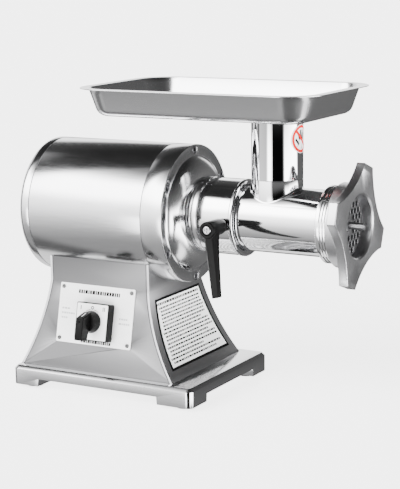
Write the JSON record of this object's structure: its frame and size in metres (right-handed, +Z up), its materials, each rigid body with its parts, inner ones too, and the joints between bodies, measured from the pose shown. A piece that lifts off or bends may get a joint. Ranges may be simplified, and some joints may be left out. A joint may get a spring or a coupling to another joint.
{
  "type": "electric meat grinder",
  "caption": "Bench-top electric meat grinder: round motor housing on a flared sheet-metal stand, clamped grinding head with ring nut, feed tube and rectangular tray.",
  "frame": {"origin": "on the surface the feet stand on, under the middle of the whole machine's length and width; the shaft line is at y = +0.0091", "axes": "+X along the shaft towards the ring nut, +Z up, the switch panel and clamp lever face -Y"},
  "size_m": [0.5124, 0.2601, 0.445],
  "materials": {
    "stand_sheet": "fine brushed stainless sheet",
    "tray_sheet": "satin pressed stainless sheet",
    "housing_sheet": "lengthwise brushed stainless sheet",
    "cast_alloy": "turned and satin polished casting",
    "base_alloy": "polished casting",
    "gearbox_alloy": "as cast",
    "mirror_steel": "mirror polished stainless steel",
    "nut_steel": "blasted and edge polished cast stainless",
    "tool_steel": "ground tool steel",
    "machined_steel": "machined steel",
    "screw_steel": "plated steel",
    "laminated_steel": "varnished laminations",
    "copper_wire": "enamelled winding wire",
    "black_plastic": "moulded thermoplastic",
    "grey_plastic": "moulded thermoplastic",
    "capacitor_can": "smooth can",
    "ceramic": "glazed strip",
    "foot_rubber": "moulded rubber",
    "seal_rubber": "nitrile",
    "bush_nylon": "nylon",
    "panel_print": "printed plate",
    "sign_print": "printed film"
  },
  "bodies": {
    "machine": {"base_plate": "base_alloy", "rubber_feet": "foot_rubber", "foot_screws": "screw_steel", "stand_bolts": "screw_steel", "stand_side_left": "stand_sheet", "stand_side_right": "stand_sheet", "stand_front_sheet": "stand_sheet", "stand_rear_sheet": "stand_sheet", "cable_gland": "black_plastic", "gland_nut": "black_plastic", "control_plate": "panel_print", "control_plate_screws": "screw_steel", "switch_housing": "black_plastic", "switch_dial_plate": "panel_print", "switch_contact_block": "grey_plastic", "information_panel": "panel_print", "start_capacitor": "capacitor_can", "capacitor_clamp": "screw_steel", "terminal_block": "ceramic", "motor_tube": "housing_sheet", "rear_cap": "housing_sheet", "rear_cap_screws": "screw_steel", "rear_end_shield": "gearbox_alloy", "stator_core": "laminated_steel", "stator_windings": "copper_wire", "motor_bearings": "machined_steel", "gearbox_housing": "gearbox_alloy", "counter_bearings": "machined_steel", "output_bearings": "machined_steel", "oil_seal": "seal_rubber", "front_flange": "cast_alloy", "flange_screws": "screw_steel", "neck_ring": "cast_alloy", "head_socket": "mirror_steel"},
    "knob": {"switch_knob": "black_plastic", "switch_spindle": "machined_steel"},
    "clamp": {"clamp_stud": "machined_steel", "lever_screw": "screw_steel"},
    "lever": {"lever_handle": "black_plastic", "lever_spring": "machined_steel"},
    "rotor": {"rotor_core": "laminated_steel", "motor_shaft": "machined_steel", "cooling_fan": "grey_plastic", "motor_pinion": "machined_steel"},
    "countershaft": {"countershaft": "machined_steel", "counter_gear": "machined_steel", "counter_pinion": "machined_steel"},
    "output": {"output_shaft": "machined_steel", "output_gear": "machined_steel"},
    "head": {"head_tube": "mirror_steel", "auger_bushing": "bush_nylon", "plate_key": "screw_steel"},
    "screw": {"auger": "mirror_steel", "auger_stud": "tool_steel", "knife": "tool_steel"},
    "plate": {"grinding_plate": "tool_steel"},
    "nut": {"ring_nut": "nut_steel"},
    "tray": {"tray_pan": "tray_sheet", "feed_tube": "mirror_steel", "safety_sign": "sign_print"}
  },
  "joints": [
    {"name": "switch_turn", "type": "hinge", "parent": "machine", "child": "knob", "pos_m": [-0.12515, -0.07705, 0.10524], "axis": [0, -0.9767, 0.2144], "range_deg": [-45, 45]},
    {"name": "clamp_turn", "type": "hinge", "parent": "machine", "child": "clamp", "pos_m": [0.06315, -0.0609, 0.256], "axis": [0, -1, 0], "range_deg": [0, 180]},
    {"name": "lever_lift", "type": "slide", "parent": "clamp", "child": "lever", "axis": [0, -1, 0], "range_m": [0, 0.003], "stiffness_N_per_m": 1200, "springref_m": -0.003, "deforming": ["lever_spring"]},
    {"name": "rotor_spin", "type": "hinge", "parent": "machine", "child": "rotor", "pos_m": [-0.10485, 0.0091, 0.2602], "axis": [1, 0, 0], "continuous": true},
    {"name": "countershaft_spin", "type": "hinge", "parent": "machine", "child": "countershaft", "pos_m": [-0.06485, 0.0091, 0.3052], "axis": [1, 0, 0], "continuous": true},
    {"name": "output_spin", "type": "hinge", "parent": "machine", "child": "output", "pos_m": [-0.01485, 0.0091, 0.2602], "axis": [1, 0, 0], "continuous": true},
    {"name": "head_slide", "type": "slide", "parent": "machine", "child": "head", "axis": [1, 0, 0], "range_m": [0, 0.065]},
    {"name": "auger_spin", "type": "hinge", "parent": "head", "child": "screw", "pos_m": [0.09515, 0.0091, 0.2602], "axis": [1, 0, 0], "continuous": true},
    {"name": "plate_slide", "type": "slide", "parent": "head", "child": "plate", "axis": [1, 0, 0], "range_m": [0, 0.01]},
    {"name": "nut_turn", "type": "hinge", "parent": "plate", "child": "nut", "pos_m": [0.23515, 0.0091, 0.2602], "axis": [1, 0, 0], "range_deg": [0, 900]},
    {"name": "tray_lift", "type": "slide", "parent": "head", "child": "tray", "axis": [0, 0, 1], "range_m": [0, 0.06]}
  ],
  "couplings": [
    {"joint": "countershaft_spin", "follows": "rotor_spin", "ratio": -0.2766},
    {"joint": "output_spin", "follows": "rotor_spin", "ratio": 0.1383},
    {"joint": "auger_spin", "follows": "rotor_spin", "ratio": 0.1383},
    {"joint": "plate_slide", "follows": "nut_turn", "m_per_rad": 0.00063662}
  ]
}
